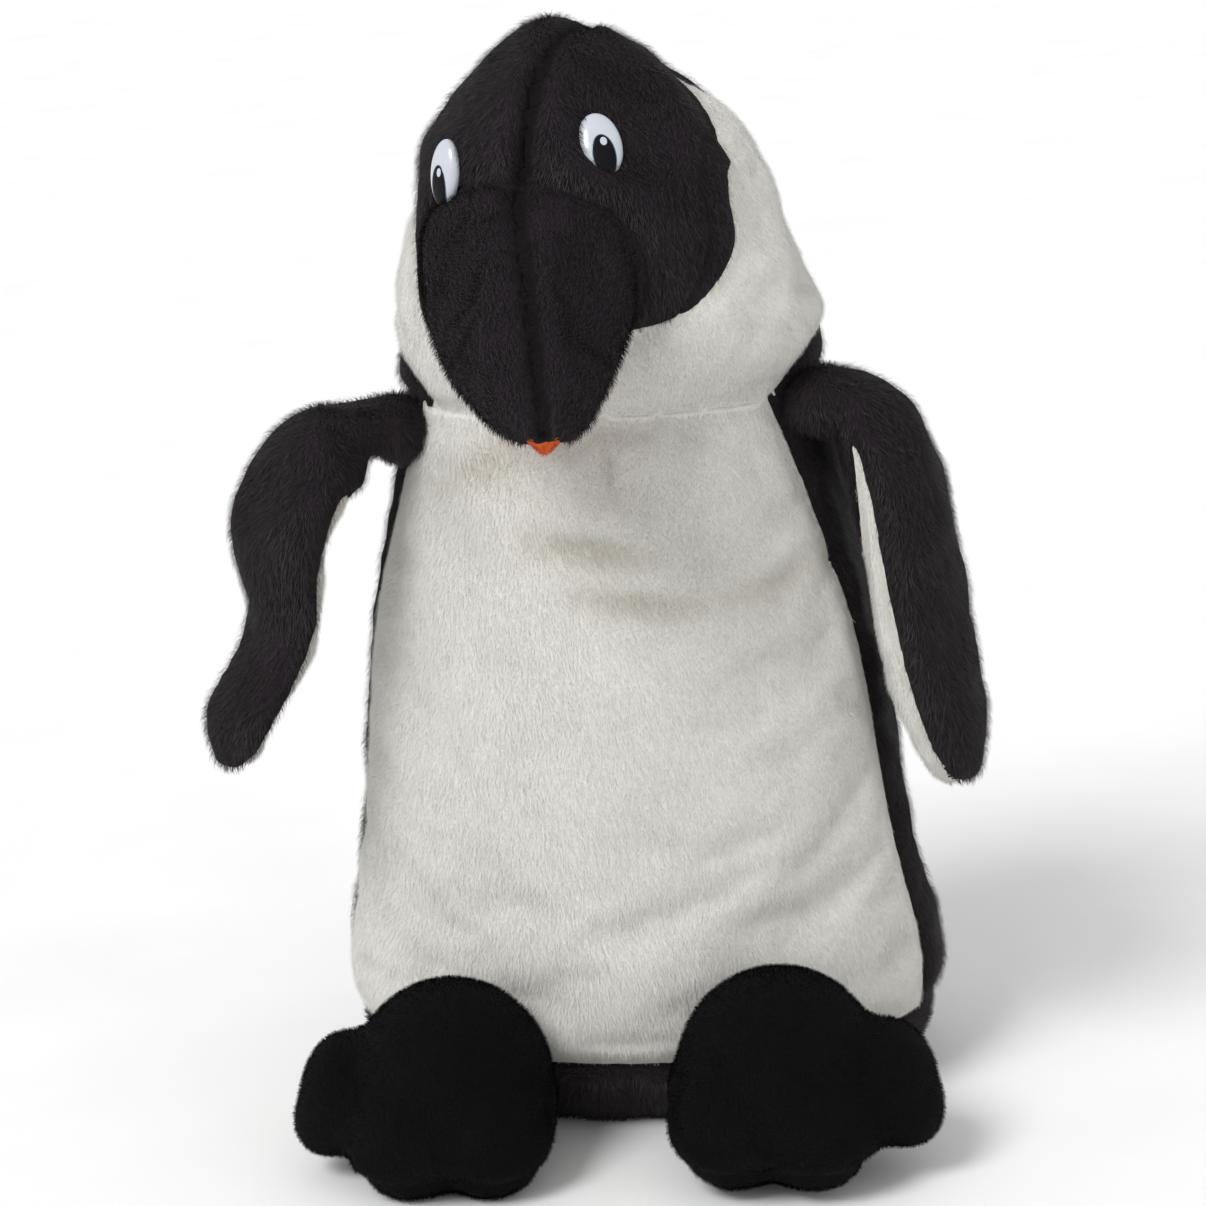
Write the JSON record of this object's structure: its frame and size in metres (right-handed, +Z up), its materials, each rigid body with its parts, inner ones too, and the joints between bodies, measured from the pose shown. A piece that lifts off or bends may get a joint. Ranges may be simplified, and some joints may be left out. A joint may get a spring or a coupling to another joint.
{
  "type": "plush penguin",
  "caption": "Stuffed fur-fabric penguin sitting upright, with a turning head, swinging flippers and folding feet.",
  "frame": {"origin": "middle of the flat base, on the surface it stands on", "axes": "+Z up, -Y the way the belly faces, +X towards the penguin's left flipper"},
  "size_m": [0.297, 0.2343, 0.421],
  "materials": {
    "black_fur": "long soft black pile, brushed",
    "white_fur": "long soft white pile, brushed",
    "orange_fabric": "short orange pile",
    "black_velboa": "short dense black pile",
    "eye_plastic": "glossy moulded white oval with a black pupil",
    "washer_plastic": "plain moulded",
    "stuffing": "loose polyester fibre",
    "thread": "twisted sewing thread"
  },
  "bodies": {
    "body": {"base_panel": "black_fur", "belly_panel": "white_fur", "back_panel_left": "black_fur", "back_panel_right": "black_fur", "body_stuffing": "stuffing", "closing_stitches": "thread"},
    "head": {"head_stuffing": "stuffing", "beak_stuffing": "stuffing", "beak_underside": "orange_fabric", "face_panel_left": "black_fur", "mask_strip_left": "black_fur", "cheek_panel_left": "white_fur", "head_back_panel_left": "black_fur", "eye_left": "eye_plastic", "eye_washer_left": "washer_plastic", "beak_panel_left": "black_fur", "face_panel_right": "black_fur", "mask_strip_right": "black_fur", "cheek_panel_right": "white_fur", "head_back_panel_right": "black_fur", "eye_right": "eye_plastic", "eye_washer_right": "washer_plastic", "beak_panel_right": "black_fur"},
    "flipper_left": {"flipper_outer_left": "black_fur", "flipper_lining_left": "white_fur", "flipper_stuffing_left": "stuffing"},
    "foot_left": {"foot_upper_left": "black_velboa", "foot_sole_left": "black_velboa", "foot_stuffing_left": "stuffing"},
    "flipper_right": {"flipper_outer_right": "black_fur", "flipper_lining_right": "white_fur", "flipper_stuffing_right": "stuffing"},
    "foot_right": {"foot_upper_right": "black_velboa", "foot_sole_right": "black_velboa", "foot_stuffing_right": "stuffing"}
  },
  "joints": [
    {"name": "head_turn", "type": "hinge", "parent": "body", "child": "head", "pos_m": [0, 0, 0.2805], "axis": [0, 0, 1], "range_deg": [-25, 25], "stiffness_Nm_per_rad": 0.6},
    {"name": "flipper_left_swing", "type": "hinge", "parent": "body", "child": "flipper_left", "pos_m": [0.091, -0.018, 0.277], "axis": [-0.3746, -0.9272, 0], "range_deg": [0, 100], "stiffness_Nm_per_rad": 0.12},
    {"name": "flipper_right_swing", "type": "hinge", "parent": "body", "child": "flipper_right", "pos_m": [-0.091, -0.018, 0.271], "axis": [-0.7071, 0.7071, 0], "range_deg": [-8, 70], "stiffness_Nm_per_rad": 0.12},
    {"name": "foot_left_fold", "type": "hinge", "parent": "body", "child": "foot_left", "pos_m": [0.061, -0.067, 0.034], "axis": [-1, 0, 0], "range_deg": [-30, 15], "stiffness_Nm_per_rad": 0.3},
    {"name": "foot_right_fold", "type": "hinge", "parent": "body", "child": "foot_right", "pos_m": [-0.061, -0.067, 0.03], "axis": [-1, 0, 0], "range_deg": [-30, 15], "stiffness_Nm_per_rad": 0.3}
  ]
}
